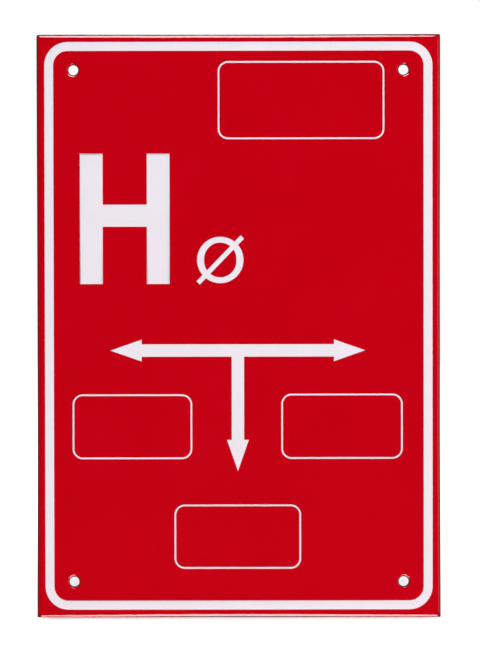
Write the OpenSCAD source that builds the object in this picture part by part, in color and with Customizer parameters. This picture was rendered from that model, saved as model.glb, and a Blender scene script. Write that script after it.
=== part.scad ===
// Hydrant marker plate: one enamelled steel sheet with a folded rim, four
// fixing holes and raised white enamel marks on a red enamel face.
//
// The plate stands upright, as it is fixed to a wall or a post. X runs to the
// reader's right, Z runs up, and the face looks towards -Y. The origin is the
// centre of the four fixing holes, on the red face.

/* [Plate] */
// Width over the rim
plate_w = 139.2; // [120:0.1:180]
// Height over the rim
plate_h = 201.3; // [180:0.1:260]
// Thickness of the sheet with its enamel on both sides
wall = 1.2; // [0.8:0.1:1.4]
// Depth from the red face to the back edge of the rim
rim_depth = 5; // [3.5:0.5:10]
// Outer radius of the bend between the face and the rim
bend_r = 1.5; // [1.5:0.1:2.5]

/* [Rim corners] */
// Width of the open slit where two strips of the rim meet
slit_w = 0.6; // [0.3:0.1:1.2]
// How far the slit stops behind the red face
slit_start = 2.2; // [1.8:0.1:3]

/* [Fixing holes] */
// Distance between hole centres across the plate
hole_span_x = 113.7; // [100:0.1:118]
// Distance between hole centres up the plate
hole_span_z = 176.5; // [160:0.1:182]
// Clear diameter of a hole
hole_d = 3.6; // [3:0.1:5]
// Width of the rounded enamel edge round a hole
hole_edge_w = 0.7; // [0.4:0.1:1]
// Depth over which that edge rounds into the hole
hole_edge_depth = 0.4; // [0.3:0.05:0.5]

/* [Border line] */
// Red margin between the rim's side and the white line
margin_x = 2.7; // [2:0.1:4]
// Red margin between the rim's top or bottom and the white line
margin_z = 2.7; // [2:0.1:4]
// Width of the white line
border_w = 3.2; // [2:0.1:4.5]
// Outer corner radius of the white line
border_r = 8.1; // [6:0.1:14]

/* [Letter] */
// Width of the block letter
letter_w = 31; // [20:0.5:40]
// Height of the block letter
letter_h = 45; // [30:0.5:60]
// Width of one upright
letter_stem = 7.95; // [5:0.05:10]
// Height of the crossbar
letter_bar = 7.7; // [5:0.1:10]
// How far the crossbar's middle lies above the letter's middle
letter_bar_lift = 1.1; // [0:0.1:4]
// Left side of the letter
letter_x = -54.7; // [-56:0.1:-40]
// Foot of the letter
letter_z = 14.5; // [10:0.5:30]

/* [Diameter sign] */
// Centre of the ring across the plate
sign_x = -6.3; // [-15:0.1:10]
// Centre of the ring up the plate
sign_z = 22.8; // [15:0.1:40]
// Outer radius of the ring
sign_r = 8.05; // [5:0.05:10]
// Width of the ring at its sides
ring_w = 2.55; // [1.5:0.05:3]
// How much taller than wide the ring's opening is
ring_stretch = 0.86; // [0.2:0.02:2]
// Length of the slanted stroke
stroke_l = 22.1; // [18:0.1:26]
// Width of the slanted stroke
stroke_w = 1.75; // [1:0.05:3]
// Angle of the stroke above the horizontal
stroke_angle = 46; // [30:1:60]

/* [Arrows] */
// Half the length of the arrow across the plate, tip to middle
arrow_reach = 44.1; // [36:0.1:50]
// Height of the arrow across the plate
arrow_z = -8.4; // [-20:0.1:5]
// Middle of the arrows
arrow_x = -0.3; // [-5:0.1:5]
// Tip of the arrow that points down
arrow_tip_z = -50.2; // [-58:0.1:-40]
// Width of an arrow's shaft
shaft_w = 4.4; // [2.5:0.1:6]
// Length of an arrow's head
head_l = 11; // [7:0.5:15]
// Width of an arrow's head
head_w = 7.7; // [6.2:0.1:14]

/* [Value frames] */
// Width of the thin line round an empty value frame
frame_line = 0.7; // [0.5:0.05:1.5]
// Outer corner radius of a value frame
frame_r = 3.6; // [2:0.1:6]
// Middle of the upper frame, across the plate
upper_x = 21.6; // [15:0.1:25]
// Middle of the upper frame, up the plate
upper_z = 77.8; // [70:0.1:80]
// Width of the upper frame
upper_w = 57.5; // [20:0.1:58]
// Height of the upper frame
upper_h = 27; // [10:0.1:30]
// Middle of the left frame, across the plate
left_x = -36.7; // [-40:0.1:-30]
// Middle of the left frame, up the plate
left_z = -34.7; // [-50:0.1:-30]
// Width of the left frame
left_w = 41.4; // [20:0.1:44]
// Height of the left frame
left_h = 22.5; // [10:0.1:26]
// Middle of the right frame, across the plate
right_x = 35.6; // [30:0.1:40]
// Middle of the right frame, up the plate
right_z = -34.6; // [-50:0.1:-30]
// Width of the right frame
right_w = 42; // [20:0.1:44]
// Height of the right frame
right_h = 22.6; // [10:0.1:26]
// Middle of the lower frame, across the plate
lower_x = -0.4; // [-10:0.1:10]
// Middle of the lower frame, up the plate
lower_z = -72.7; // [-78:0.1:-65]
// Width of the lower frame
lower_w = 43.8; // [20:0.1:60]
// Height of the lower frame
lower_h = 22.3; // [10:0.1:26]

/* [Enamel] */
// How far the white enamel stands proud of the red
relief = 0.12; // [0.05:0.01:0.3]

/* [Hidden] */
$fn = 96;

RED = [0.77, 0.01, 0.08];
WHITE = [0.94, 0.91, 0.94];

// Inside radius of the bend
bend_inner_r = bend_r - wall;
// A cut runs this far past the surface that it goes through
past = 1;
// White enamel is rooted this deep in the sheet, so that both are one solid
root = 0.4;
// Radius of the arc that rounds the edge of a hole
hole_edge_arc = (pow(hole_edge_w, 2) + pow(hole_edge_depth, 2)) / (2 * hole_edge_depth);
// Radius at which that arc leaves the red face
hole_edge_r = hole_d / 2 + hole_edge_w;
// Radius of the ring's opening at its rounded ends
ring_opening_r = sign_r - ring_w;
// A corner's slit runs this far along the mitre, so that it clears both strips
slit_reach = 4 * wall;
// Where the value frames stand: middle across, middle up, width and height
value_frames = [
    [upper_x, upper_z, upper_w, upper_h],
    [left_x, left_z, left_w, left_h],
    [right_x, right_z, right_w, right_h],
    [lower_x, lower_z, lower_w, lower_h],
];

// Flat outlines

// A rectangle with four round corners, about its own middle
module rounded_rect(w, h, r) {
    square([w - 2 * r, h], center = true);
    square([w, h - 2 * r], center = true);
    for (sx = [-1, 1], sy = [-1, 1])
        translate([sx * (w / 2 - r), sy * (h / 2 - r)]) circle(r);
}

// A line of even width that follows a rounded rectangle
module rounded_line(w, h, r, line) {
    difference() {
        rounded_rect(w, h, r);
        rounded_rect(w - 2 * line, h - 2 * line, r - line);
    }
}

// Section through a tray: the face lies on y = 0, its two bends have radius r
// and its sides run back to y = depth
module tray_section(w, depth, r) {
    translate([-w / 2, r]) square([w, depth - r]);
    translate([-w / 2 + r, 0]) square([w - 2 * r, depth]);
    for (s = [-1, 1])
        translate([s * (w / 2 - r), r]) circle(r);
}

// An arrow head that points along +X, with its base on x = 0
module arrow_head() {
    polygon([[0, -head_w / 2], [head_l, 0], [0, head_w / 2]]);
}

// Solids

// A solid tray: one section runs up the plate and the other across it, so the
// bends meet in a true mitre at each corner
module tray_block(w, h, depth, r) {
    intersection() {
        linear_extrude(h, center = true) tray_section(w, depth, r);
        rotate([0, 90, 0]) linear_extrude(w, center = true) tray_section(h, depth, r);
    }
}

// The folded sheet, open at the back
module folded_sheet() {
    difference() {
        tray_block(plate_w, plate_h, rim_depth, bend_r);
        translate([0, wall, 0])
            tray_block(plate_w - 2 * wall, plate_h - 2 * wall, rim_depth - wall + past, bend_inner_r);
    }
}

// The slits at the corners, on the mitre between two strips of the rim
module corner_slits() {
    for (sx = [-1, 1], sz = [-1, 1])
        translate([sx * plate_w / 2, slit_start, sz * plate_h / 2])
            rotate([0, sx * sz * 45, 0])
                translate([-slit_w / 2, 0, -slit_reach / 2])
                    cube([slit_w, rim_depth - slit_start + past, slit_reach]);
}

// One fixing hole: a straight bore with a rounded enamel edge on the face
module hole_cut() {
    rotate([-90, 0, 0]) {
        translate([0, 0, -past]) cylinder(h = wall + 2 * past, d = hole_d);
        rotate_extrude()
            difference() {
                translate([0, -past]) square([hole_edge_r, hole_edge_depth + past]);
                translate([hole_edge_r, hole_edge_arc]) circle(hole_edge_arc);
            }
    }
}

module fixing_holes() {
    for (sx = [-1, 1], sz = [-1, 1])
        translate([sx * hole_span_x / 2, 0, sz * hole_span_z / 2]) hole_cut();
}

// Stands a flat outline upright on the face, as raised enamel
module enamel() {
    translate([0, root, 0]) rotate([90, 0, 0]) linear_extrude(root + relief) children();
}

// The marks

module border_line() {
    enamel() rounded_line(plate_w - 2 * margin_x, plate_h - 2 * margin_z, border_r, border_w);
}

module letter() {
    enamel() translate([letter_x, letter_z]) {
        square([letter_stem, letter_h]);
        translate([letter_w - letter_stem, 0]) square([letter_stem, letter_h]);
        translate([0, (letter_h - letter_bar) / 2 + letter_bar_lift]) square([letter_w, letter_bar]);
    }
}

module diameter_sign() {
    enamel() translate([sign_x, sign_z]) {
        difference() {
            circle(sign_r);
            square([2 * ring_opening_r, ring_stretch], center = true);
            for (s = [-1, 1])
                translate([0, s * ring_stretch / 2]) circle(ring_opening_r);
        }
        rotate(stroke_angle) square([stroke_l, stroke_w], center = true);
    }
}

module arrows() {
    shaft_l = arrow_reach - head_l;
    enamel() translate([arrow_x, arrow_z]) {
        square([2 * shaft_l, shaft_w], center = true);
        for (turn = [0, 180])
            rotate(turn) translate([shaft_l, 0]) arrow_head();
        rotate(-90) {
            drop = arrow_z - arrow_tip_z - head_l;
            translate([0, -shaft_w / 2]) square([drop, shaft_w]);
            translate([drop, 0]) arrow_head();
        }
    }
}

module value_frame(place) {
    enamel() translate([place[0], place[1]])
        rounded_line(place[2], place[3], frame_r, frame_line);
}

// The whole plate, one fused piece
module plate() {
    color(RED) difference() {
        folded_sheet();
        corner_slits();
        fixing_holes();
    }
    color(WHITE) {
        border_line();
        letter();
        diameter_sign();
        arrows();
        for (place = value_frames) value_frame(place);
    }
}

plate();
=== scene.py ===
# %% [markdown]
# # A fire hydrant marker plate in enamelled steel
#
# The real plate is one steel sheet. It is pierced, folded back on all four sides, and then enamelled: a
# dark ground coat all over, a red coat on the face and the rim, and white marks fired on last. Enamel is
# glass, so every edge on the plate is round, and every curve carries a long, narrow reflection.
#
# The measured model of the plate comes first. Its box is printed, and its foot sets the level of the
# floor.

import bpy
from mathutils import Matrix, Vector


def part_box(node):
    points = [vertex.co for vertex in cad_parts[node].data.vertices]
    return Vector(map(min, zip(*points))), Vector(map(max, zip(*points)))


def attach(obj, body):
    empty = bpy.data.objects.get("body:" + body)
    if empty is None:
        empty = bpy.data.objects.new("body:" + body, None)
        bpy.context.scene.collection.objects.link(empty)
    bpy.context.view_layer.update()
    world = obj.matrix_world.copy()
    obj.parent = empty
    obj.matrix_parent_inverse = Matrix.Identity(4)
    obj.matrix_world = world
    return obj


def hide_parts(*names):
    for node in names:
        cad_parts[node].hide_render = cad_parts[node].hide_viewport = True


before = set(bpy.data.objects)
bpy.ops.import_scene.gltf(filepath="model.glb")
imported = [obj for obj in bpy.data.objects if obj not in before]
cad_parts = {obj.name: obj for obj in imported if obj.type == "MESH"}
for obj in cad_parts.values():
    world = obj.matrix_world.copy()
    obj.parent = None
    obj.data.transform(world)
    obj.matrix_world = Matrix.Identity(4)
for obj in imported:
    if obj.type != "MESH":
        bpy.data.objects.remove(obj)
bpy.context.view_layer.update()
plate_low, plate_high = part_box("plate")
print("plate", [round(1000 * side, 2) for side in plate_high - plate_low], "mm")

# %% [markdown]
# ## Sizes
#
# Lengths are in millimetres, as in a workshop drawing, and `MM` turns them into Blender's metres. The
# face lies on y = 0 and looks towards -Y, and the middle of the four fixing holes is the origin.

# %% Sizes of the sheet
import math

import bmesh
import bpy
from mathutils import Matrix, Vector

MM = 0.001

PLATE_W = 139.2
PLATE_H = 201.3
WALL = 1.2
RIM_DEPTH = 5
BEND_R = 1.5
HOLE_SPAN_X = 113.7
HOLE_SPAN_Z = 176.5
HOLE_R = 1.8
HOLE_EDGE_W = 0.7
HOLE_EDGE_DEPTH = 0.4
HOLE_COAT = 0.12
SLIT_W = 0.6
SLIT_START = 2.2

# White enamel stands this far proud of the red, and is rooted this deep in it
RELIEF = 0.12
ROOT = 0.06

print("clear face", PLATE_W - 2 * BEND_R, "x", PLATE_H - 2 * BEND_R, "mm")

# %% [markdown]
# ## A short way to write nodes
#
# Blender keeps materials and Geometry Nodes as trees of nodes. A tree can be wired socket by socket,
# which is long and hard to read. Here one small class wraps an output socket, so that Python's own
# operators add the Math nodes of an expression. A second class adds any other node in one call: its type,
# its settings, then its sockets.

# %% Wrap a socket
class Socket:
    """One output of a node, as a value that can be used in an expression."""

    def __init__(self, graph, output):
        self.graph = graph
        self.output = output

    def math(self, operation, *others):
        return self.graph.math(operation, self, *others)

    def __add__(self, other):
        return self.graph.math("ADD", self, other)

    def __sub__(self, other):
        return self.graph.math("SUBTRACT", self, other)

    def __rsub__(self, other):
        return self.graph.math("SUBTRACT", other, self)

    def __mul__(self, other):
        return self.graph.math("MULTIPLY", self, other)

    def __truediv__(self, other):
        return self.graph.math("DIVIDE", self, other)

    def __gt__(self, other):
        return self.graph.math("GREATER_THAN", self, other)

    def __lt__(self, other):
        return self.graph.math("LESS_THAN", self, other)

    def __abs__(self):
        return self.graph.math("ABSOLUTE", self)

    __radd__ = __add__


# %% Add a node in one call
def pick(sockets, key):
    """A socket by its number, its identifier or its name."""
    if isinstance(key, int):
        return sockets[key]
    return next((s for s in sockets if s.identifier == key), None) or sockets[key]


class Graph:
    """Adds nodes to a tree, of a material, the world or Geometry Nodes."""

    def __init__(self, tree):
        self.tree = tree

    def node(self, kind, settings=None, sockets=None, output=0):
        """Adds a node. Its settings come first, because some of them change which sockets it has."""
        node = self.tree.nodes.new(kind)
        for name, value in (settings or {}).items():
            setattr(node, name, value)
        for key, value in (sockets or {}).items():
            several = value if isinstance(value, list) else [value]
            for item in several:
                self.feed(pick(node.inputs, key), item)
        return Socket(self, pick(node.outputs, output))

    def feed(self, socket, value):
        """Links a socket, or sets it to a plain value."""
        if isinstance(value, Socket):
            self.tree.links.new(value.output, socket)
        else:
            socket.default_value = value

    def math(self, operation, *values):
        return self.node("ShaderNodeMath", {"operation": operation}, dict(enumerate(values)))

    def vector(self, operation, *values):
        return self.node("ShaderNodeVectorMath", {"operation": operation}, dict(enumerate(values)))

    def whole(self, operation, *values):
        """Arithmetic on whole numbers, such as the index of a point."""
        return self.node("FunctionNodeIntegerMath", {"operation": operation}, dict(enumerate(values)))

    def scale(self, vector, factor):
        return self.node("ShaderNodeVectorMath", {"operation": "SCALE"}, {0: vector, "Scale": factor})

    def split(self, vector):
        """The three numbers of a vector."""
        parts = self.node("ShaderNodeSeparateXYZ", sockets={0: vector})
        return [Socket(self, output) for output in parts.output.node.outputs]

    def join(self, x, y, z):
        return self.node("ShaderNodeCombineXYZ", sockets={0: x, 1: y, 2: z})

    def smooth(self, value, low, high):
        """Rises gently from 0 at low to 1 at high."""
        ends = {"Value": value, "From Min": low, "From Max": high}
        return self.node("ShaderNodeMapRange", {"interpolation_type": "SMOOTHSTEP"}, ends)

    def rise(self, value, band):
        """Rises gently from 0 to 1 over a band, whose two ends are given in millimetres."""
        return self.smooth(value, band[0] * MM, band[1] * MM)

    def noise(self, place, size, detail=2.0):
        """A soft random pattern from 0 to 1, with blotches of about size metres."""
        sockets = {"Vector": place, "Scale": 1 / size, "Detail": detail}
        return self.node("ShaderNodeTexNoise", sockets=sockets)


# %% [markdown]
# A Geometry Nodes tree needs named inputs, so that its sizes can be set from outside. `new_tree` makes
# the tree with its inputs, and `run_tree` sets them on a modifier by each socket's identifier, evaluates
# it once, and keeps the result as a plain mesh. The modifier goes away with the object that carried it.

# %% Make and run a Geometry Nodes tree
def new_tree(name, sizes, geometry_in=()):
    """An empty tree, its graph, and its inputs by name. Each size is a length that the modifier sets."""
    tree = bpy.data.node_groups.new(name, "GeometryNodeTree")
    for item in geometry_in:
        tree.interface.new_socket(item, in_out="INPUT", socket_type="NodeSocketGeometry")
    for item in sizes:
        tree.interface.new_socket(item, in_out="INPUT", socket_type="NodeSocketFloat")
    tree.interface.new_socket("Geometry", in_out="OUTPUT", socket_type="NodeSocketGeometry")
    graph = Graph(tree)
    given = tree.nodes.new("NodeGroupInput")
    named = {item: Socket(graph, given.outputs[item]) for item in [*geometry_in, *sizes]}
    return tree, graph, named


def close_tree(tree, result):
    """Joins the last node to the tree's output."""
    tree.links.new(result.output, tree.nodes.new("NodeGroupOutput").inputs[0])


def run_tree(name, tree, sizes):
    """Runs a tree with its sizes in millimetres, and returns a plain object that holds the result."""
    carrier = bpy.data.objects.new(name + "_carrier", bpy.data.meshes.new(name + "_carrier"))
    bpy.context.scene.collection.objects.link(carrier)
    modifier = carrier.modifiers.new("shape", "NODES")
    modifier.node_group = tree
    identifiers = {s.name: s.identifier for s in tree.interface.items_tree if s.in_out == "INPUT"}
    for size, value in sizes.items():
        modifier[identifiers[size]] = value * MM
    result = carrier.evaluated_get(bpy.context.evaluated_depsgraph_get())
    mesh = bpy.data.meshes.new_from_object(result)
    mesh.name = name
    bpy.data.objects.remove(carrier)
    piece = bpy.data.objects.new(name, mesh)
    bpy.context.scene.collection.objects.link(piece)
    return piece


# %% [markdown]
# Every piece gets the same last pass. Points that coincide become one, the faces are turned outwards, and
# the shading is smooth except over true corners. The pass also counts open edges, which a closed piece
# doesn't have.

# %% Finish a mesh
SHARP_ANGLE = 50
SAME_POINT = 0.0005 * MM


def finish_mesh(piece):
    """Merges, turns outwards and shades a piece, and prints what it is."""
    mesh = piece.data
    work = bmesh.new()
    work.from_mesh(mesh)
    bmesh.ops.remove_doubles(work, verts=work.verts, dist=SAME_POINT)
    bmesh.ops.dissolve_degenerate(work, dist=SAME_POINT, edges=work.edges)
    bmesh.ops.recalc_face_normals(work, faces=work.faces)
    open_edges = sum(1 for edge in work.edges if len(edge.link_faces) != 2)
    volume = work.calc_volume() / MM**3
    work.to_mesh(mesh)
    work.free()
    mesh.shade_smooth()
    mesh.set_sharp_from_angle(angle=math.radians(SHARP_ANGLE))
    mesh.calc_loop_triangles()
    triangles = len(mesh.loop_triangles)
    print(piece.name, triangles, "triangles,", open_edges, "open edges,", round(volume, 1), "mm3")
    return piece


# %% [markdown]
# ## Camera
#
# The plate was looked at almost square on, from about an arm's length away. A long lens keeps its sides
# parallel. The camera is a touch higher than the middle of the plate and a touch out of level, as it was
# in the photograph.

# %% Set up the camera
CAMERA_DISTANCE = 900 * MM
# Angles in degrees
CAMERA_HEIGHT_ANGLE = 0.87
CAMERA_SIDE_ANGLE = 0.15
CAMERA_ROLL = 0.09
CAMERA_AIM = Vector((0.47, 0, -1.36)) * MM
CAMERA_LENS = 142.35


def from_angles(azimuth, elevation, distance):
    """A place in front of the plate. Azimuth turns towards +X, elevation towards +Z."""
    azimuth, elevation = math.radians(azimuth), math.radians(elevation)
    level = math.cos(elevation)
    return Vector((math.sin(azimuth) * level, -math.cos(azimuth) * level, math.sin(elevation))) * distance


def add_camera():
    camera = bpy.data.objects.new("camera", bpy.data.cameras.new("camera"))
    bpy.context.scene.collection.objects.link(camera)
    bpy.context.scene.camera = camera
    back = from_angles(CAMERA_SIDE_ANGLE, CAMERA_HEIGHT_ANGLE, 1.0)
    camera.location = CAMERA_AIM + back * CAMERA_DISTANCE
    upright = (-back).to_track_quat("-Z", "Y").to_matrix().to_4x4()
    roll = Matrix.Rotation(math.radians(-CAMERA_ROLL), 4, "Z")
    camera.matrix_world = Matrix.Translation(camera.location) @ upright @ roll
    camera.data.lens = CAMERA_LENS
    camera.data.clip_start = 0.01
    camera.data.clip_end = 20
    return camera


camera = add_camera()
print("camera at", [round(1000 * c) for c in camera.location], "mm")

# %% [markdown]
# ## Red enamel
#
# Red enamel is a layer of coloured glass: a deep, even red under a hard gloss. A flat colour with a gloss
# would look like plastic. Three small things make it enamel. The colour clouds very slightly, where the
# powder lay thicker. The surface has the fine dimples that are called orange peel. And near the fold the
# glass has run into long, uneven beads, which make the reflection along the rim waver.
#
# Where the glass is pulled thin, over the corner tips, at the back edge of the rim and inside the holes,
# the dark ground coat shows through. A fine dark line is also drawn along the fold, where the red is
# darkened towards the colour of the ground coat; it frames the plate.

# %% Distances over the plate
def plate_place(graph):
    """A point's position, its three numbers, and how far it lies inside the sides and inside the ends."""
    place = graph.node("ShaderNodeTexCoord", output="Object")
    x, y, z = graph.split(place)
    inside_x = PLATE_W / 2 * MM - abs(x)
    inside_z = PLATE_H / 2 * MM - abs(z)
    return place, x, y, z, inside_x, inside_z


def hole_distance(graph, x, z):
    """How far a point is from the axis of the nearest fixing hole."""
    across = abs(x) - HOLE_SPAN_X / 2 * MM
    up = abs(z) - HOLE_SPAN_Z / 2 * MM
    return (across * across + up * up).math("SQRT")


# %% The red coat and the ground coat under it
RED = (0.557, 0.0001, 0.0072, 1)
DEEP_RED = (0.535, 0.0001, 0.0062, 1)
GROUND = (0.012, 0.013, 0.017, 1)
GROUND_CLOUD = (0.02, 0.026, 0.04, 1)
GROUND_FLECK = (0.07, 0.075, 0.09, 1)
MIST = (0.2, 0.004, 0.008, 1)

GLASS_IOR = 1.52

# The size of each pattern in the red, and the height of its relief
RED_CLOUD = 26 * MM
SPECKLE = 0.35 * MM
BEAD = 7 * MM
BEAD_RELIEF = 0.25 * MM
RIPPLE = 9 * MM
RIPPLE_RELIEF = 0.02 * MM
PEEL = 1.3 * MM
PEEL_RELIEF = 0.006 * MM

# Bands in millimetres over which the red gives way to the dark: from a corner's tip, towards the back edge
# of the rim, in and out again along the fold's darker line, into the hollow side, and out of a hole
TIP_BAND = (0.2, 1.1)
RIM_BACK_BAND = (4.25, 4.75)
FOLD_IN_BAND = (0.32, 0.52)
FOLD_OUT_BAND = (1.1, 2.3)
HOLLOW_BAND = (0.4, 0.6)
BEHIND_FACE_BAND = (0.5, 0.7)
BORE_BAND = (1.97, 2.05)
BEAD_BAND = (0.8, 4.5)
RAGGED = 0.5 * MM
# A fold and a bore keep a steadier edge, and a trace of red
STEADY = 0.3
FOLD_DARKEN = 0.8
BORE_SHOWS = 0.85


def new_material(name):
    """An empty material with one shader, and its graph."""
    material = bpy.data.materials.new(name)
    material.use_nodes = True
    material.node_tree.nodes.clear()
    return material, Graph(material.node_tree)


def close_material(graph, shader):
    out = graph.tree.nodes.new("ShaderNodeOutputMaterial")
    graph.tree.links.new(shader.output, out.inputs["Surface"])


def blend_colours(graph, factor, first, second):
    sockets = {"Factor_Float": factor, "A_Color": first, "B_Color": second}
    return graph.node("ShaderNodeMix", {"data_type": "RGBA"}, sockets, "Result_Color")


def close_as_glass(graph, colour, roughness, normal):
    sockets = {"Base Color": colour, "Roughness": roughness, "IOR": GLASS_IOR, "Normal": normal}
    close_material(graph, graph.node("ShaderNodeBsdfPrincipled", sockets=sockets))


def bump(graph, height, distance, normal=None):
    """Turns a pattern from 0 to 1 into a relief of that distance in metres."""
    sockets = {"Height": height, "Distance": distance, "Strength": 1.0}
    if normal is not None:
        sockets["Normal"] = normal
    return graph.node("ShaderNodeBump", sockets=sockets)


def red_enamel():
    material, graph = new_material("red enamel over ground coat")
    place, x, y, z, inside_x, inside_z = plate_place(graph)
    inside = graph.math("MINIMUM", inside_x, inside_z)
    corner = graph.math("MAXIMUM", inside_x, inside_z)

    clouds = graph.noise(place, RED_CLOUD, detail=3.0)
    ragged = (graph.noise(place, SPECKLE, detail=2.0) - 0.5) * RAGGED
    thin_tip = 1 - graph.rise(corner + ragged, TIP_BAND)
    thin_back = graph.rise(y + ragged, RIM_BACK_BAND)
    # A darker line along the fold: the red is darkened there towards the ground coat's colour
    dark_fold_line = graph.rise(y + ragged * STEADY, FOLD_IN_BAND) * (1 - graph.rise(y + ragged, FOLD_OUT_BAND))
    bare_hollow = graph.rise(inside, HOLLOW_BAND) * graph.rise(y, BEHIND_FACE_BAND)
    bare_bore = 1 - graph.rise(hole_distance(graph, x, z) + ragged * STEADY, BORE_BAND)
    thin = graph.math("MAXIMUM", thin_tip, thin_back)
    for other in (dark_fold_line * FOLD_DARKEN, bare_hollow, bare_bore * BORE_SHOWS):
        thin = graph.math("MAXIMUM", thin, other)

    red = blend_colours(graph, graph.smooth(clouds, 0.25, 0.75), DEEP_RED, RED)
    colour = blend_colours(graph, thin, red, GROUND)
    roughness = 0.07 + clouds * 0.03 + thin * 0.1 + bare_bore * 0.4

    near_rim = 1 - graph.rise(inside, BEAD_BAND)
    beads = bump(graph, graph.noise(place, BEAD, detail=1.0) * near_rim, BEAD_RELIEF)
    ripple = bump(graph, graph.noise(place, RIPPLE, detail=1.0), RIPPLE_RELIEF, beads)
    normal = bump(graph, graph.noise(place, PEEL, detail=2.0), PEEL_RELIEF, ripple)
    close_as_glass(graph, colour, roughness, normal)
    return material


RED_ENAMEL = red_enamel()
print("red coat:", len(RED_ENAMEL.node_tree.nodes), "nodes")

# %% [markdown]
# ## Ground coat
#
# The back of such a plate keeps the ground coat bare. It is a blue-black glass, a little duller than the
# face, with paler flecks from the milled frit and pin holes where gas came out of the steel in the kiln.
# The red was sprayed from the front, and some of its mist settled behind, along the rim and around the
# holes.

# %% The ground coat
GROUND_CLOUD_SIZE = 14 * MM
FLECK_SIZE = 0.9 * MM
PIT_SIZE = 1.6 * MM
PIT_DEPTH = 0.03 * MM
DROPLET_SIZE = 0.5 * MM
GRAIN = 0.6 * MM
GRAIN_RELIEF = 0.008 * MM
# Bands in millimetres over which the mist thins out, away from the rim and away from a hole
MIST_RIM_BAND = (1.3, 9)
MIST_HOLE_BAND = (2, 5)


def ground_coat():
    material, graph = new_material("ground coat")
    place, x, _, z, inside_x, inside_z = plate_place(graph)
    flecks = graph.smooth(graph.noise(place, FLECK_SIZE, detail=4.0), 0.56, 0.7)
    clouds = graph.noise(place, GROUND_CLOUD_SIZE, detail=3.0)
    pits = 1 - graph.smooth(graph.noise(place, PIT_SIZE, detail=0.0), 0.2, 0.3)
    cloudy = blend_colours(graph, graph.smooth(clouds, 0.35, 0.65), GROUND, GROUND_CLOUD)
    flecked = blend_colours(graph, flecks * 0.8, cloudy, GROUND_FLECK)
    near_rim = 1 - graph.rise(graph.math("MINIMUM", inside_x, inside_z), MIST_RIM_BAND)
    near_hole = 1 - graph.rise(hole_distance(graph, x, z), MIST_HOLE_BAND)
    droplets = graph.smooth(graph.noise(place, DROPLET_SIZE, detail=1.0), 0.5, 0.66)
    mist = graph.math("MAXIMUM", near_rim, near_hole) * droplets
    colour = blend_colours(graph, mist * 0.7, flecked, MIST)
    roughness = 0.14 + clouds * 0.14 + pits * 0.25 + mist * 0.2
    grain = bump(graph, graph.noise(place, GRAIN, detail=3.0), GRAIN_RELIEF)
    close_as_glass(graph, colour, roughness, bump(graph, 1 - pits, PIT_DEPTH, grain))
    return material


GROUND_COAT = ground_coat()
print("ground coat:", len(GROUND_COAT.node_tree.nodes), "nodes")

# %% [markdown]
# ## White enamel
#
# The white is screened over the red as a paste and fired again. It covers well in the middle of a mark
# and thins out over its round shoulder, so a hair of pink shows all round each mark.

# %% The white coat
WHITE = (0.88, 0.83, 0.88, 1)
MILK_WHITE = (0.85, 0.79, 0.865, 1)
THIN_WHITE = (0.6, 0.03, 0.05, 1)

WHITE_CLOUD = 11 * MM
WHITE_SPECKLE = 0.5 * MM
WHITE_RAGGED = 0.01 * MM
WHITE_RIPPLE = 5 * MM
WHITE_RIPPLE_RELIEF = 0.015 * MM
WHITE_PEEL = 0.8 * MM
WHITE_PEEL_RELIEF = 0.005 * MM
# Heights above the red, in millimetres, between which the white starts to cover
COVER_BAND = (0.088, 0.112)


def white_enamel():
    material, graph = new_material("white enamel")
    place = graph.node("ShaderNodeTexCoord", output="Object")
    height = 0 - graph.split(place)[1]
    clouds = graph.noise(place, WHITE_CLOUD, detail=3.0)
    ragged = (graph.noise(place, WHITE_SPECKLE, detail=2.0) - 0.5) * WHITE_RAGGED
    cover = graph.rise(height + ragged, COVER_BAND)
    white = blend_colours(graph, clouds, MILK_WHITE, WHITE)
    colour = blend_colours(graph, cover, THIN_WHITE, white)
    roughness = 0.09 + clouds * 0.05
    ripple = bump(graph, graph.noise(place, WHITE_RIPPLE, detail=1.0), WHITE_RIPPLE_RELIEF)
    normal = bump(graph, graph.noise(place, WHITE_PEEL, detail=2.0), WHITE_PEEL_RELIEF, ripple)
    close_as_glass(graph, colour, roughness, normal)
    return material


WHITE_ENAMEL = white_enamel()
print("white coat:", len(WHITE_ENAMEL.node_tree.nodes), "nodes")

# %% [markdown]
# ## The folded sheet
#
# The rim has one section all the way round, a strip bent back by a quarter turn. It could be extruded
# face by face, or swept along the outline. A plain sweep would fold over itself at the corners, because
# the bend is wider than the corner is round. So the sweep here follows a rule instead: every point of the
# outline carries a `lean`, the direction in which the section's points slide inwards. Along a side the
# lean shrinks the outline evenly, and at a corner it keeps the small round shape. The holes use the same
# rule with a lean that points away from the hole's axis.
#
# The tree is drawn lying down, with the face up at z = 0, and is stood upright at its end.

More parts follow.
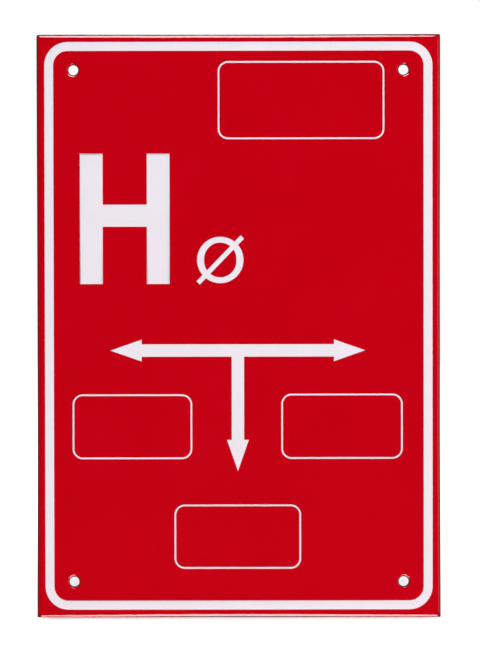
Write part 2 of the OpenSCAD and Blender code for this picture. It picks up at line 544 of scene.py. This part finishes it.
# %% A band that carries a section round an outline
def band_group():
    """Joins each point of a path to each point of a section, as a band of quads."""
    tree, graph, given = new_tree("Band round a path", [], ["Path", "Section"])
    counts = {}
    for name in ("Path", "Section"):
        settings = {"component": "CURVE"}
        counts[name] = graph.node("GeometryNodeAttributeDomainSize", settings, {0: given[name]})
    around = counts["Path"]
    along = counts["Section"]
    cells = {"Vertices X": graph.whole("ADD", around, 1), "Vertices Y": along}
    grid = graph.node("GeometryNodeMeshGrid", sockets=cells)
    index = graph.node("GeometryNodeInputIndex")
    step_around = graph.whole("MODULO", graph.whole("DIVIDE", index, along), around)
    step_along = graph.whole("MODULO", index, along)

    position = graph.node("GeometryNodeInputPosition")
    lean = graph.node("GeometryNodeInputNamedAttribute", {"data_type": "FLOAT_VECTOR"}, {"Name": "lean"})

    def sample(geometry, value, index):
        sockets = {"Geometry": geometry, "Value": value, "Index": index}
        return graph.node("GeometryNodeSampleIndex", {"data_type": "FLOAT_VECTOR"}, sockets)

    across, height, _ = graph.split(sample(given["Section"], position, step_along))
    slide = graph.scale(sample(given["Path"], lean, step_around), across)
    start = graph.vector("ADD", sample(given["Path"], position, step_around), graph.join(0, 0, height))
    place = graph.vector("ADD", start, slide)
    band = graph.node("GeometryNodeSetPosition", sockets={"Geometry": grid, "Position": place})
    close_tree(tree, graph.node("GeometryNodeMergeByDistance", sockets={0: band, "Distance": SAME_POINT}))
    return tree


BAND = band_group()


def band(graph, path, section):
    """The band as one node of another tree."""
    return graph.node("GeometryNodeGroup", {"node_tree": BAND}, {"Path": path, "Section": section})


def store_lean(graph, path, lean):
    """The path, with its lean kept on every point."""
    settings = {"data_type": "FLOAT_VECTOR", "domain": "POINT"}
    sockets = {"Geometry": path, "Name": "lean", "Value": lean}
    return graph.node("GeometryNodeStoreNamedAttribute", settings, sockets)


# %% [markdown]
# A section is a bent line: a few corners, each with its own radius. `bent_line` draws it with an Index
# Switch that picks each corner's place, and a Fillet Curve node that rounds it.

# %% Draw a section from its corners
def fillet(graph, curve, steps, radius, limit=True):
    """Rounds the corners of a curve, each in so many steps."""
    sockets = {"Curve": curve, "Count": steps, "Radius": radius, "Limit Radius": limit}
    return graph.node("GeometryNodeFilletCurve", {"mode": "POLY"}, sockets)


def bent_line(graph, corners, steps):
    """A line through corners that are given as (across, height, radius)."""
    straight = graph.node("GeometryNodeCurvePrimitiveLine")
    line = graph.node("GeometryNodeResampleCurve", sockets={"Curve": straight, "Count": len(corners)})
    index = graph.node("GeometryNodeInputIndex")

    def by_index(kind, values):
        switch = graph.tree.nodes.new("GeometryNodeIndexSwitch")
        switch.data_type = kind
        while len(switch.index_switch_items) < len(values):
            switch.index_switch_items.new()
        graph.feed(switch.inputs["Index"], index)
        for number, value in enumerate(values):
            graph.feed(switch.inputs[number + 1], value)
        return Socket(graph, switch.outputs[0])

    places = by_index("VECTOR", [graph.join(across, height, 0) for across, height, _ in corners])
    radii = by_index("FLOAT", [radius for _, _, radius in corners])
    placed = graph.node("GeometryNodeSetPosition", sockets={"Geometry": line, "Position": places})
    return fillet(graph, placed, steps, radii)


# %% [markdown]
# The outline is a rectangle whose sides are cut into short lengths before its corners are rounded, so
# that the rim can bow and waver a little. Folding and firing draw each side in towards its middle, by
# less than a tenth of a millimetre, and leave the corners standing out by a hair, the lower ones more
# than the upper ones. The sheet was folded a tenth of a millimetre lower than its marks are printed.

# %% The outline of the plate, with its lean
SIDE_CUTS = 60
TIP_R = 0.6
TIP_STEPS = 6
EAR = 0.17
EAR_REACH = 75
# The lower ears outgrow the upper ones by this share of their mean
EAR_TILT = 0.9
DRAWN_IN = 0.08
FOLD_SHIFT = -0.1
WAVER = 0.05
WAVER_LENGTH = 45


def plate_outline(graph, given):
    """The outline as a curve that carries its lean."""
    width, height, tip = given["Width"], given["Height"], given["Tip radius"]
    box = graph.node("GeometryNodeCurvePrimitiveQuadrilateral", sockets={"Width": width, "Height": height})
    cut = graph.node("GeometryNodeSubdivideCurve", sockets={"Curve": box, "Cuts": SIDE_CUTS})
    index = graph.node("GeometryNodeInputIndex")
    is_corner = graph.math("LESS_THAN", graph.whole("MODULO", index, SIDE_CUTS + 1), 0.5)
    round_box = fillet(graph, cut, TIP_STEPS, tip * is_corner)

    place = graph.node("GeometryNodeInputPosition")
    half = graph.join(width * 0.5 - tip, height * 0.5 - tip, 1)
    not_below = graph.vector("MAXIMUM", graph.vector("DIVIDE", place, half), (-1, -1, 0))
    outwards = graph.vector("MINIMUM", not_below, (1, 1, 0))
    leaning = store_lean(graph, round_box, graph.scale(outwards, -1.0))

    x, y, _ = graph.split(place)
    from_corner = graph.math("MAXIMUM", width * 0.5 - abs(x), height * 0.5 - abs(y))
    near_corner = 1 - graph.rise(from_corner, (0.0, EAR_REACH))
    ear = near_corner * given["Corner ear"] * (1 - y / height * EAR_TILT) - given["Drawn in"]
    waver = (graph.noise(place, WAVER_LENGTH * MM, detail=1.0) - 0.5) * given["Waver"]
    bowed = graph.scale(outwards, ear + waver)
    moved = graph.vector("ADD", bowed, graph.join(0, given["Fold shift"], 0))
    return graph.node("GeometryNodeSetPosition", sockets={"Geometry": leaning, "Offset": moved})


# %% One fixing hole, with its lean
HOLE_CUTS = 72
HOLE_STEPS = 8
# Where the enamel bends, in widths and depths of the hole's edge: on the flat face, at the round shoulder,
# at the foot of the shoulder, and on the lip that stands into the bore
FLAT_AT = 1.7
SHOULDER_AT = 0.72
SHOULDER_R = 0.6
FOOT_AT = 0.44
FOOT_DROP = 1.05
LIP_DROP = 1.12


def hole_band(graph, given):
    """The rounded edge and the bore of one hole, about its own axis."""
    sockets = {"Resolution": HOLE_CUTS, "Radius": given["Hole radius"]}
    circle = graph.node("GeometryNodeCurvePrimitiveCircle", sockets=sockets)
    path = store_lean(graph, circle, graph.vector("NORMALIZE", graph.node("GeometryNodeInputPosition")))
    back = given["Sheet thickness"] * -1
    width, depth = given["Hole edge width"], given["Hole edge depth"]
    corners = [
        (width * FLAT_AT, 0.0, 0.0),
        (width * SHOULDER_AT, 0.0, SHOULDER_R * MM),
        (width * FOOT_AT, depth * -FOOT_DROP, 0.03 * MM),
        (0.0, depth * -LIP_DROP, 0.04 * MM),
        (0.0, back, 0.12 * MM),
        (width * FLAT_AT, back, 0.0),
    ]
    return band(graph, path, bent_line(graph, corners, HOLE_STEPS))


# %% [markdown]
# Now the whole sheet. The rim's band and the four hole bands leave the flat face open in front and
# behind. Their open edges are turned into curves, and Fill Curve closes each side with flat faces around
# the holes. Four thin blocks then cut the slits in which the strips of the rim meet.

# %% The tree of the sheet
BEND_STEPS = 14
# The rim's band reaches this far onto the flat face, and a cut this far past the rim
FLAT_MARGIN = 0.4
PAST = 1
# A slit is cut this many walls long, so that it clears both strips
SLIT_WALLS = 4

SHEET = {
    "Width": PLATE_W,
    "Height": PLATE_H,
    "Sheet thickness": WALL,
    "Rim depth": RIM_DEPTH,
    "Bend radius": BEND_R,
    "Edge radius": 0.45,
    "Tip radius": TIP_R,
    "Corner ear": EAR,
    "Drawn in": DRAWN_IN,
    "Fold shift": FOLD_SHIFT,
    "Waver": WAVER,
    "Hole span x": HOLE_SPAN_X,
    "Hole span z": HOLE_SPAN_Z,
    "Hole radius": HOLE_R - HOLE_COAT,
    "Hole edge width": HOLE_EDGE_W,
    "Hole edge depth": HOLE_EDGE_DEPTH,
    "Slit width": SLIT_W,
    "Slit start": SLIT_START,
}


def four_points(graph, width, height):
    """The corners of a rectangle, as the points of a small grid."""
    sockets = {"Size X": width, "Size Y": height, "Vertices X": 2, "Vertices Y": 2}
    return graph.node("GeometryNodeMeshGrid", sockets=sockets)


def sheet_tree():
    """The sheet, lying down."""
    tree, graph, given = new_tree("Folded sheet", SHEET)
    wall = given["Sheet thickness"]
    back = wall * -1
    depth = given["Rim depth"] * -1
    flat = given["Bend radius"] + FLAT_MARGIN * MM
    corners = [
        (flat, 0.0, 0.0),
        (0.0, 0.0, given["Bend radius"]),
        (0.0, depth, given["Edge radius"]),
        (wall, depth, given["Edge radius"]),
        (wall, back, given["Bend radius"] - wall),
        (flat, back, 0.0),
    ]
    rim_band = band(graph, plate_outline(graph, given), bent_line(graph, corners, BEND_STEPS))
    rim = graph.node("GeometryNodeFlipFaces", sockets={0: rim_band})

    centres = four_points(graph, given["Hole span x"], given["Hole span z"])
    one_hole = hole_band(graph, given)
    holes = graph.node("GeometryNodeInstanceOnPoints", sockets={"Points": centres, "Instance": one_hole})
    real_holes = graph.node("GeometryNodeRealizeInstances", sockets={0: holes})
    shell = graph.node("GeometryNodeJoinGeometry", sockets={0: [rim, real_holes]})

    open_edge = graph.node("GeometryNodeInputMeshEdgeNeighbors") < 1.5
    z = graph.split(graph.node("GeometryNodeInputPosition"))[2]
    in_front = z > back * 0.5

    def fill(selection):
        curve = graph.node("GeometryNodeMeshToCurve", sockets={"Mesh": shell, "Selection": selection})
        return graph.node("GeometryNodeFillCurve", {"mode": "TRIANGLES"}, {"Curve": curve})

    face = fill(open_edge * in_front)
    inside = fill(open_edge * (1 - in_front))
    down = graph.join(0, 0, back)
    sunk = graph.node("GeometryNodeTransform", sockets={"Geometry": inside, "Translation": down})
    turned = graph.node("GeometryNodeFlipFaces", sockets={0: sunk})
    whole = graph.node("GeometryNodeJoinGeometry", sockets={0: [shell, face, turned]})
    closed = graph.node("GeometryNodeMergeByDistance", sockets={0: whole, "Distance": SAME_POINT})

    cut_depth = given["Rim depth"] - given["Slit start"] + PAST * MM
    block_size = graph.join(given["Slit width"], wall * SLIT_WALLS, cut_depth)
    block = graph.node("GeometryNodeMeshCube", sockets={"Size": block_size})
    down = graph.join(0, 0, given["Slit start"] * -1 - cut_depth * 0.5)
    low_block = graph.node("GeometryNodeTransform", sockets={"Geometry": block, "Translation": down})
    tips = four_points(graph, given["Width"], given["Height"])
    x, y, _ = graph.split(graph.node("GeometryNodeInputPosition"))
    mitre = graph.join(0, 0, (x * y).math("SIGN") * math.radians(-45))
    sockets = {"Points": tips, "Instance": low_block, "Rotation": mitre}
    slits = graph.node("GeometryNodeInstanceOnPoints", sockets=sockets)
    real_slits = graph.node("GeometryNodeRealizeInstances", sockets={0: slits})
    slit_sheet = graph.node(
        "GeometryNodeMeshBoolean",
        {"operation": "DIFFERENCE", "solver": "MANIFOLD"},
        {"Mesh 1": closed, "Mesh 2": real_slits},
    )

    real = graph.node("GeometryNodeRealizeInstances", sockets={0: slit_sheet})
    coated = graph.node("GeometryNodeSetMaterial", sockets={"Geometry": real, "Material": RED_ENAMEL})
    close_tree(tree, coated)
    return tree


# %% Make the sheet
sheet = run_tree("enamelled_sheet", sheet_tree(), SHEET)
STAND_UP = Matrix.Rotation(math.radians(90), 4, "X")
sheet.data.transform(STAND_UP)
finish_mesh(sheet)

# %% [markdown]
# The ground coat is a finish of its own, so it is a piece of its own: a skin over the hollow of the back.
# Its shape is the sheet's, so it is made from the sheet's own faces, lifted by a hair and given a
# thickness.

# %% Make the skin of ground coat
SKIN = 0.03
# The hollow's faces are told by their depth and by how far in from the outer edge they lie
HOLLOW_FRONT = WALL - 0.01
HOLLOW_BACK = RIM_DEPTH - 0.5
HOLLOW_SIDE = WALL - 0.3


def back_skin(sheet):
    """The faces in the hollow of the sheet, as a thin closed skin."""
    work = bmesh.new()
    work.from_mesh(sheet.data)

    def outside_hollow(face):
        centre = face.calc_center_median() / MM
        inside = min(PLATE_W / 2 - abs(centre.x), PLATE_H / 2 - abs(centre.z))
        return not (HOLLOW_FRONT < centre.y < HOLLOW_BACK and inside > HOLLOW_SIDE)

    bmesh.ops.delete(work, geom=[face for face in work.faces if outside_hollow(face)], context="FACES")
    for vertex in work.verts:
        vertex.co += vertex.normal * SKIN * MM
    bmesh.ops.solidify(work, geom=work.faces[:], thickness=2 * SKIN * MM)
    mesh = bpy.data.meshes.new("ground_coat_skin")
    work.to_mesh(mesh)
    work.free()
    mesh.materials.clear()
    mesh.materials.append(GROUND_COAT)
    skin = bpy.data.objects.new("ground_coat_skin", mesh)
    bpy.context.scene.collection.objects.link(skin)
    return finish_mesh(skin)


skin = back_skin(sheet)

# %% [markdown]
# ## Lines: the border and the four value frames
#
# Five of the white marks are the same thing in five sizes, a line of even width round a rectangle with
# round corners. One tree draws them all, and five modifiers set its sizes. Fired paste ends in a steep
# little wall and then rises in a low dome. The dome is too flat to catch the lamps, so the marks keep a
# quiet edge.

# %% The tree of a line
PRINT_WALL = 0.09
DOME_W = 0.24
# Radii at the top of the wall and at the start of the dome
WALL_TOP_R = 0.02
DOME_R = 0.3
LINE_CORNER_STEPS = 18
LINE_SECTION_STEPS = 4

PRINT = {"Wall height": PRINT_WALL, "Dome width": DOME_W, "Relief": RELIEF, "Root": ROOT}
LINE_SIZES = ["Width", "Height", "Middle x", "Middle z", "Corner radius", "Line width"]


def line_tree():
    """One line of white enamel, with its foot in the red."""
    tree, graph, given = new_tree("Enamel line round a rectangle", [*PRINT, *LINE_SIZES])
    line, relief, wall_top = given["Line width"], given["Relief"], given["Wall height"]
    box = graph.node(
        "GeometryNodeCurvePrimitiveQuadrilateral",
        sockets={"Width": given["Width"] - line, "Height": given["Height"] - line},
    )
    path = fillet(graph, box, LINE_CORNER_STEPS, given["Corner radius"] - line * 0.5, limit=False)
    edge = line * 0.5
    dome_top = edge - given["Dome width"]
    corners = [
        (edge * -1, given["Root"], 0.0),
        (edge * -1, wall_top * -1, WALL_TOP_R * MM),
        (dome_top * -1, relief * -1, DOME_R * MM),
        (dome_top, relief * -1, DOME_R * MM),
        (edge, wall_top * -1, WALL_TOP_R * MM),
        (edge, given["Root"], 0.0),
    ]
    open_section = bent_line(graph, corners, LINE_SECTION_STEPS)
    section = graph.node("GeometryNodeSetSplineCyclic", sockets={"Geometry": open_section, "Cyclic": True})
    swept = graph.node("GeometryNodeCurveToMesh", sockets={"Curve": path, "Profile Curve": section})
    upright = graph.node(
        "GeometryNodeTransform",
        sockets={
            "Geometry": swept,
            "Translation": graph.join(given["Middle x"], 0, given["Middle z"]),
            "Rotation": (math.radians(90), 0, 0),
        },
    )
    real = graph.node("GeometryNodeRealizeInstances", sockets={0: upright})
    coated = graph.node("GeometryNodeSetMaterial", sockets={"Geometry": real, "Material": WHITE_ENAMEL})
    close_tree(tree, coated)
    return tree


LINE = line_tree()

# %% Make the border and the value frames
LINES = {
    "border_line": (133.8, 195.9, 0, 0, 8.1, 3.2),
    "upper_value_frame": (57.5, 27, 21.6, 77.8, 3.6, 0.7),
    "left_value_frame": (41.4, 22.5, -36.7, -34.7, 3.6, 0.7),
    "right_value_frame": (42, 22.6, 35.6, -34.6, 3.6, 0.7),
    "lower_value_frame": (43.8, 22.3, -0.4, -72.7, 3.6, 0.7),
}

marks = []
for name, values in LINES.items():
    line_sizes = {**PRINT, **dict(zip(LINE_SIZES, values))}
    marks.append(finish_mesh(run_tree(name, LINE, line_sizes)))

# %% [markdown]
# ## Solid marks: the letter, the diameter sign and the arrows
#
# These three have outlines of their own. Each is drawn as corners in the plane of the face, and then
# raised like the enamel it is: straight up out of the red, over a low dome, and flat on top. Bevelling an
# extruded outline would do the same, but the offset of an outline is a few lines of code, and it keeps
# every loop of points in step with the next.

# %% Outlines and their offsets
def turned_left(step):
    return Vector((-step.y, step.x))


def inset(outline, distance):
    """An outline moved to its left by a distance. The enamel lies to the left of its steps."""
    moved = []
    for number, here in enumerate(outline):
        into = (here - outline[number - 1]).normalized()
        onward = (outline[(number + 1) % len(outline)] - here).normalized()
        lefts = turned_left(into) + turned_left(onward)
        moved.append(here + lefts * distance / (1 + into.dot(onward)))
    return moved


def softened(corners, radius, steps=4):
    """An outline with each corner turned into a small arc."""
    outline = []
    for number, corner in enumerate(corners):
        into = (corner - corners[number - 1]).normalized()
        onward = (corners[(number + 1) % len(corners)] - corner).normalized()
        turn = into.angle_signed(onward) * -1
        cut = radius * math.tan(abs(turn) / 2)
        start = corner - into * cut
        centre = start + turned_left(into) * math.copysign(radius, turn)
        for step in range(steps + 1):
            spoke = (start - centre).to_3d()
            spoke.rotate(Matrix.Rotation(turn * step / steps, 3, "Z"))
            outline.append(centre + spoke.to_2d())
    return outline


# %% Raise an outline out of the face
DOME_STEPS = 5
WALL_ROUNDING = ((0, -0.02), (0.006, -0.006), (0.02, 0))
TOP_MARGIN = 0.12


def raised_mark(name, outlines):
    """A closed pad over outlines in millimetres, with a steep wall, a low dome and a flat top."""
    section = [(0, -ROOT)]
    section.extend((distance, PRINT_WALL + drop) for distance, drop in WALL_ROUNDING)
    start, _ = section[-1]
    for step in range(1, DOME_STEPS + 1):
        part = step / DOME_STEPS
        rise = (RELIEF - PRINT_WALL) * math.sin(math.radians(90) * part)
        section.append((start + (DOME_W - start) * part, PRINT_WALL + rise))
    section.append((DOME_W + TOP_MARGIN, RELIEF))

    work = bmesh.new()
    first_edges, last_edges = [], []
    for outline in outlines:
        rings = []
        for distance, height in section:
            points = inset(outline, distance)
            rings.append([work.verts.new(Vector((p.x, -height, p.y)) * MM) for p in points])
        for lower, upper in zip(rings, rings[1:]):
            for number in range(len(lower)):
                work.faces.new((lower[number - 1], lower[number], upper[number], upper[number - 1]))
        for ring, edges in ((rings[0], first_edges), (rings[-1], last_edges)):
            edges.extend(work.edges.get((ring[number - 1], ring[number])) for number in range(len(ring)))
    for edges in (first_edges, last_edges):
        bmesh.ops.triangle_fill(work, use_beauty=True, use_dissolve=False, edges=edges, normal=(0, -1, 0))
    mesh = bpy.data.meshes.new(name)
    work.to_mesh(mesh)
    work.free()
    mesh.materials.append(WHITE_ENAMEL)
    piece = bpy.data.objects.new(name, mesh)
    bpy.context.scene.collection.objects.link(piece)
    return finish_mesh(piece)


# %% The block letter
LETTER_W = 31
LETTER_H = 45
LETTER_STEM = 7.95
LETTER_BAR = 7.7
LETTER_BAR_LIFT = 1.1
LETTER_FOOT = Vector((-54.7, 14.5))
PRINT_CORNER = 0.18


def letter_outline():
    """Both uprights and the crossbar, anticlockwise from the foot of the left upright."""
    right_stem = LETTER_W - LETTER_STEM
    bar_low = (LETTER_H - LETTER_BAR) / 2 + LETTER_BAR_LIFT
    bar_high = bar_low + LETTER_BAR
    corners = [
        (0, 0),
        (LETTER_STEM, 0),
        (LETTER_STEM, bar_low),
        (right_stem, bar_low),
        (right_stem, 0),
        (LETTER_W, 0),
        (LETTER_W, LETTER_H),
        (right_stem, LETTER_H),
        (right_stem, bar_high),
        (LETTER_STEM, bar_high),
        (LETTER_STEM, LETTER_H),
        (0, LETTER_H),
    ]
    return softened([LETTER_FOOT + Vector(corner) for corner in corners], PRINT_CORNER)


marks.append(raised_mark("block_letter", [letter_outline()]))

# %% [markdown]
# The diameter sign is a ring with a stroke through it. Drawn as two pads it would flicker where their
# tops coincide, so it is one outline with two openings. Both are worked out with the stroke lying level:
# the outside is the circle with the stroke's two ends let in, and each opening is the part of the ring's
# inside that lies on one side of the stroke.

# %% The diameter sign
SIGN_CENTRE = Vector((-6.3, 22.8))
SIGN_R = 8.05
RING_W = 2.55
RING_STRETCH = 0.86
STROKE_L = 22.1
STROKE_W = 1.75
STROKE_ANGLE = math.radians(46)
OUTSIDE_STEPS = 60
OPENING_STEPS = 48


def arc(radius, start, end, steps):
    """Points on a circle about the origin."""
    angles = [start + (end - start) * step / steps for step in range(steps + 1)]
    return [Vector((radius * math.cos(angle), radius * math.sin(angle))) for angle in angles]


def above(outline, level):
    """The part of a convex outline above a level line."""
    kept = []
    for number, here in enumerate(outline):
        before = outline[number - 1]
        if (before.y > level) != (here.y > level):
            kept.append(before.lerp(here, (level - before.y) / (here.y - before.y)))
        if here.y > level:
            kept.append(here)
    return kept


def turned(outline, angle):
    turn = Matrix.Rotation(angle, 2)
    return [turn @ point for point in outline]


def sign_outlines():
    """The outside and the two openings of the sign."""
    half = STROKE_W / 2
    crossing = math.asin(half / SIGN_R)
    upper_arc = arc(SIGN_R, crossing, math.pi - crossing, OUTSIDE_STEPS)
    stroke_end = [Vector((-STROKE_L / 2, half)), Vector((-STROKE_L / 2, -half))]
    upper_half = upper_arc + stroke_end
    outside = upper_half + turned(upper_half, math.pi)

    opening_r = SIGN_R - RING_W
    lift = Vector((0, RING_STRETCH / 2))
    cap = [point + lift for point in arc(opening_r, 0, math.pi, OPENING_STEPS)]
    ring_inside = turned(cap + turned(cap, math.pi), -STROKE_ANGLE)
    upper_opening = above(ring_inside, half)
    openings = [upper_opening[::-1], turned(upper_opening, math.pi)[::-1]]
    return [[SIGN_CENTRE + p for p in turned(loop, STROKE_ANGLE)] for loop in [outside, *openings]]


marks.append(raised_mark("diameter_sign", sign_outlines()))

# %% [markdown]
# The arrows point left, right and down from one junction. Their outline is written once for the
# right-hand arrow and the downward one, and mirrored for the left.

# %% The arrows
ARROW_CENTRE = Vector((-0.3, -8.4))
ARROW_REACH = 44.1
ARROW_DROP = 41.8
SHAFT_HALF = 2.2
HEAD_L = 11
HEAD_HALF = 3.85


def arrow_outline():
    """The three arrows as one outline, anticlockwise from the downward tip."""
    shaft = ARROW_REACH - HEAD_L
    foot = ARROW_DROP - HEAD_L
    right_side = [
        (HEAD_HALF, -foot),
        (SHAFT_HALF, -foot),
        (SHAFT_HALF, -SHAFT_HALF),
        (shaft, -SHAFT_HALF),
        (shaft, -HEAD_HALF),
        (ARROW_REACH, 0),
        (shaft, HEAD_HALF),
        (shaft, SHAFT_HALF),
    ]
    left_side = [(-x, z) for x, z in reversed(right_side)]
    return [ARROW_CENTRE + Vector(corner) for corner in [(0, -ARROW_DROP), *right_side, *left_side]]


marks.append(raised_mark("distance_arrows", [arrow_outline()]))

# %% [markdown]
# ## Light
#
# The photograph was lit by two long, soft lamps in front of the plate, one above and one below. They show
# as the two bright lines along the top and bottom folds, and as small arcs on the edges of the holes. In
# front of the plate the room is dark, because a glossy face that looked at anything bright would turn
# grey.
#
# A lamp that fits those reflections is near and small, and would light the plate unevenly. So the work is
# shared: two far lamps give the even light, and cards that only reflections see give the bright lines.
# Two dim cards on the right draw the soft streak down that fold, and a lamp behind shows the hollow side
# in other views.

# %% Lamps and cards
# Distances, sizes and places are in metres here, angles in degrees and powers in watts
SOFTBOX_DISTANCE = 1.1
SOFTBOX_ELEVATION = 60
SOFTBOX_SHIFT = 0.25
SOFTBOX_SIZE = 0.6
SOFTBOX_POWER = 10.4
CARD_DISTANCE = 0.16
CARD_ELEVATION = 60
CARD_SIZE = 0.196
CARD_RADIANCE = 13.0
# How far the middle of each card lies to the right of the plate's middle
CARD_SHIFT = {"upper": -12 * MM, "lower": 6 * MM}
SIDE_CARD_DISTANCE = 0.5
# The azimuth, size and radiance of each card on the right
SIDE_CARDS = {"right_wall": (55, 0.38, 0.61), "right_card": (84, 0.35, 0.35)}
BACK_FILL_PLACE = (-0.6, 1.0, 0.7)
BACK_FILL_SIZE = 0.7
BACK_FILL_POWER = 9.0


def add_lamp(name, place, size, radiance=None, power=None, aim=(0, 0, 0)):
    """A round, soft lamp that looks at a point. Its radiance is that of its own surface."""
    data = bpy.data.lights.new(name, "AREA")
    data.shape = "DISK"
    data.size = size
    area = math.pi * (size / 2) ** 2
    data.energy = power if power is not None else radiance * area * math.pi
    lamp = bpy.data.objects.new(name, data)
    bpy.context.scene.collection.objects.link(lamp)
    look = Vector(aim) - Vector(place)
    lamp.matrix_world = Matrix.Translation(place) @ look.to_track_quat("-Z", "Y").to_matrix().to_4x4()
    lamp.visible_camera = False
    return lamp


def add_card(name, place, size, radiance, aim):
    """A lamp that only reflections see."""
    card = add_lamp(name, place, size, radiance=radiance, aim=aim)
    card.visible_diffuse = False


def add_lights():
    shift = Vector((SOFTBOX_SHIFT, 0, 0))
    for side, sign in (("upper", 1), ("lower", -1)):
        place = from_angles(0, SOFTBOX_ELEVATION * sign, SOFTBOX_DISTANCE) + shift
        softbox = add_lamp(side + "_softbox", place, SOFTBOX_SIZE, power=SOFTBOX_POWER)
        softbox.visible_glossy = False
        edge = Vector((CARD_SHIFT[side], 0, PLATE_H / 2 * MM * sign))
        place = edge + from_angles(0, CARD_ELEVATION * sign, CARD_DISTANCE)
        add_card(side + "_card", place, CARD_SIZE, CARD_RADIANCE, edge)
    right_edge = Vector((PLATE_W / 2 * MM, 0, 0))
    for name, (azimuth, size, radiance) in SIDE_CARDS.items():
        place = right_edge + from_angles(azimuth, 0, SIDE_CARD_DISTANCE)
        add_card(name, place, size, radiance, right_edge)
    add_lamp("back_fill", Vector(BACK_FILL_PLACE), BACK_FILL_SIZE, power=BACK_FILL_POWER)


add_lights()

# %% The world
FILL = 0.13
SIDE_GLOSS = 0.1
BACK_GLOSS = 0.9
# Parts of a direction of length 1: how far forwards the dark begins, how far backwards the pale table
# begins, and how high it ends
FRONT_BAND = (0.35, 0.8)
TABLE_BAND = (0.45, 0.95)
TABLE_TOP_BAND = (-0.35, 0.15)


def set_world():
    """White to the camera, and a soft fill. Reflections find a dark front and a pale table behind."""
    world = bpy.data.worlds.new("studio")
    bpy.context.scene.world = world
    world.use_nodes = True
    world.node_tree.nodes.clear()
    graph = Graph(world.node_tree)
    path = graph.node("ShaderNodeLightPath", output="Is Camera Ray")
    is_glossy = Socket(graph, path.output.node.outputs["Is Glossy Ray"])
    is_transmission = Socket(graph, path.output.node.outputs["Is Transmission Ray"])
    direction = graph.node("ShaderNodeTexCoord", output="Generated")
    _, backwards, up = graph.split(direction)
    pale_sides = (1 - graph.smooth(0 - backwards, *FRONT_BAND)) * SIDE_GLOSS
    below_top = 1 - graph.smooth(up, *TABLE_TOP_BAND)
    pale_back = graph.smooth(backwards, *TABLE_BAND) * below_top * BACK_GLOSS
    seen = graph.math("MAXIMUM", path, is_transmission)
    level = seen + (1 - seen) * (is_glossy * (pale_sides + pale_back) + (1 - is_glossy) * FILL)
    shade = graph.node("ShaderNodeBackground", sockets={"Color": (1, 1, 1, 1), "Strength": level})
    out = world.node_tree.nodes.new("ShaderNodeOutputWorld")
    world.node_tree.links.new(shade.output, out.inputs["Surface"])


set_world()

# %% [markdown]
# The floor is a pale table at the plate's foot. It glows a little, so that it fades into the white behind
# it, and a painted shadow of the plate lowers the glow where the plate would keep the light off: in the
# line of contact, and behind the plate.

# %% The floor
# Lengths are in metres from the plate's foot here
FLOOR_HALF = 3.0
FLOOR_GREY = (0.6, 0.6, 0.6, 1)
GLOW = 0.8
FAR_GLOW = 0.3
FAR_BAND = (0.15, 0.6)
# The painted shadow is as wide as the plate, and ends softly at its sides
SIDE_BAND = (0.062, 0.074)
CONTACT_BAND = (0.002, 0.012)
CONTACT_SHADE = 0.56
BEHIND_IN_BAND = (0.0, 0.03)
BEHIND_OUT_BAND = (0.14, 0.3)
BEHIND_SHADE = 0.35
# The painted shadow deepens towards the right
RIGHT_BAND = (0.0, 0.06)
RIGHT_SHADE = 0.12


def add_floor():
    """The table, which the camera sees as white, with the plate's shadow painted into its glow."""
    mesh = bpy.data.meshes.new("floor")
    half, level = FLOOR_HALF, plate_low.z
    corners = [(-half, -half, level), (half, -half, level), (half, half, level), (-half, half, level)]
    mesh.from_pydata(corners, [], [(0, 1, 2, 3)])
    floor = bpy.data.objects.new("floor", mesh)
    bpy.context.scene.collection.objects.link(floor)
    material, graph = new_material("pale table")
    is_camera = graph.node("ShaderNodeLightPath", output="Is Camera Ray")
    place = graph.node("ShaderNodeTexCoord", output="Object")
    away = Socket(graph, graph.vector("LENGTH", place).output.node.outputs["Value"])
    far = graph.smooth(away, *FAR_BAND)
    x, y, _ = graph.split(place)
    across = 1 - graph.smooth(abs(x), *SIDE_BAND)
    contact = (1 - graph.smooth(abs(y), *CONTACT_BAND)) * across
    behind = graph.smooth(y, *BEHIND_IN_BAND) * (1 - graph.smooth(y, *BEHIND_OUT_BAND)) * across
    deeper = BEHIND_SHADE + graph.smooth(x, *RIGHT_BAND) * RIGHT_SHADE
    # The plate's shadow is painted into the glow: in the line of contact, and behind the plate
    shade = graph.math("MAXIMUM", contact * CONTACT_SHADE, behind * deeper)
    strength = is_camera * (GLOW + far * FAR_GLOW - shade)
    matt = graph.node("ShaderNodeBsdfDiffuse", sockets={"Color": FLOOR_GREY})
    glow = graph.node("ShaderNodeEmission", sockets={"Strength": strength})
    close_material(graph, graph.node("ShaderNodeAddShader", sockets={0: matt, 1: glow}))
    mesh.materials.append(material)
    floor.visible_shadow = False
    floor.visible_glossy = False


add_floor()
bpy.context.scene.view_settings.view_transform = "Standard"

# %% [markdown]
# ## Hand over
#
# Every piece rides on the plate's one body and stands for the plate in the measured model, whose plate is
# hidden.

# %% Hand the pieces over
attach(sheet, "root")
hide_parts("plate")
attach(skin, "root")
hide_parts("plate")
for mark in marks:
    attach(mark, "root")
    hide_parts("plate")
